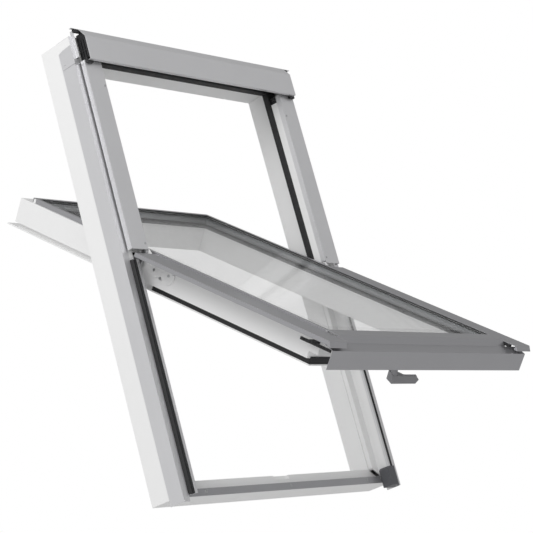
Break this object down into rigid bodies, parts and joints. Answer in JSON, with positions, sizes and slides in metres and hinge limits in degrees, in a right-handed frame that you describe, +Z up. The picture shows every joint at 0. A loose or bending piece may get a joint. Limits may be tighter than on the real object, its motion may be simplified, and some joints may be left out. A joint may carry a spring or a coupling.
{
  "type": "roof skylight",
  "caption": "Centre-pivot roof skylight with a hinged double-glazed sash, metal cladding and a bottom handle with a latch.",
  "frame": {"origin": "middle of the sill's underside", "axes": "+X along the width to the right seen from outside, +Y inward (outside is -Y), +Z up along the frame"},
  "size_m": [0.786, 0.8947, 1.1274],
  "materials": {
    "white_plastic": "smooth white window profile",
    "black_rubber": "matt black seal",
    "clear_glass": "clear float glass",
    "spacer_metal": "satin spacer bar",
    "grey_coated_aluminium": "satin grey coil coating",
    "light_coated_aluminium": "satin light grey coil coating",
    "black_plastic": "matt moulded",
    "grey_plastic": "matt moulded",
    "handle_metal": "satin cast",
    "zinc_plated_steel": "bright plated"
  },
  "bodies": {
    "frame": {"frame_jamb_left": "white_plastic", "frame_jamb_right": "white_plastic", "frame_head": "white_plastic", "frame_sill": "white_plastic", "stop_left": "white_plastic", "stop_right": "white_plastic", "stop_gasket_left": "black_rubber", "stop_gasket_right": "black_rubber", "head_gasket": "black_rubber", "side_cover_left": "light_coated_aluminium", "side_cover_right": "light_coated_aluminium", "side_clip_left": "light_coated_aluminium", "side_clip_right": "light_coated_aluminium", "front_flange_left": "light_coated_aluminium", "front_flange_right": "light_coated_aluminium", "front_seal_left": "black_rubber", "front_seal_right": "black_rubber", "gap_cover_left": "light_coated_aluminium", "gap_cover_right": "light_coated_aluminium", "gap_clips": "black_plastic", "gap_rivets": "zinc_plated_steel", "hood": "light_coated_aluminium", "hood_end_left": "black_plastic", "hood_end_right": "black_plastic", "hood_brackets": "black_plastic", "head_cover": "light_coated_aluminium", "flange_ends": "light_coated_aluminium", "sill_cover": "grey_coated_aluminium", "sill_screws": "zinc_plated_steel", "corner_blocks": "grey_plastic", "keeper": "zinc_plated_steel", "frame_hinge_left": "zinc_plated_steel", "frame_hinge_right": "zinc_plated_steel", "frame_hinge_screws": "zinc_plated_steel", "pivot_pins": "zinc_plated_steel"},
    "sash": {"sash_stile_left": "white_plastic", "sash_stile_right": "white_plastic", "sash_top_rail": "white_plastic", "sash_bottom_rail": "white_plastic", "pane_outer": "clear_glass", "pane_inner": "clear_glass", "spacer": "spacer_metal", "glass_seals": "black_rubber", "trim_left": "grey_coated_aluminium", "trim_right": "grey_coated_aluminium", "trim_top": "grey_coated_aluminium", "sash_cover_left": "grey_coated_aluminium", "sash_cover_right": "grey_coated_aluminium", "cover_end_left": "black_plastic", "cover_end_right": "black_plastic", "bottom_cover": "grey_coated_aluminium", "sash_gasket": "black_rubber", "sash_hinge_left": "white_plastic", "sash_hinge_right": "white_plastic", "sash_hinge_screws": "zinc_plated_steel", "catches": "black_plastic", "lock_case": "zinc_plated_steel", "handle_base": "handle_metal"},
    "lever": {"handle": "handle_metal"},
    "bolt": {"latch_bolt": "zinc_plated_steel"}
  },
  "joints": [
    {"name": "sash_pivot", "type": "hinge", "parent": "frame", "child": "sash", "pos_m": [0, -0.0708, 0.56381], "axis": [-1, 0, 0], "range_deg": [-50.3, 104.7]},
    {"name": "handle_turn", "type": "hinge", "parent": "sash", "child": "lever", "pos_m": [0.026, -0.39086, 0.16812], "axis": [0, -0.6388, 0.7694], "range_deg": [0, 90]},
    {"name": "bolt_slide", "type": "slide", "parent": "sash", "child": "bolt", "axis": [0, -0.7694, -0.6388], "range_m": [0, 0.014]}
  ],
  "couplings": [
    {"joint": "bolt_slide", "follows": "handle_turn", "m_per_rad": 0.00891}
  ]
}
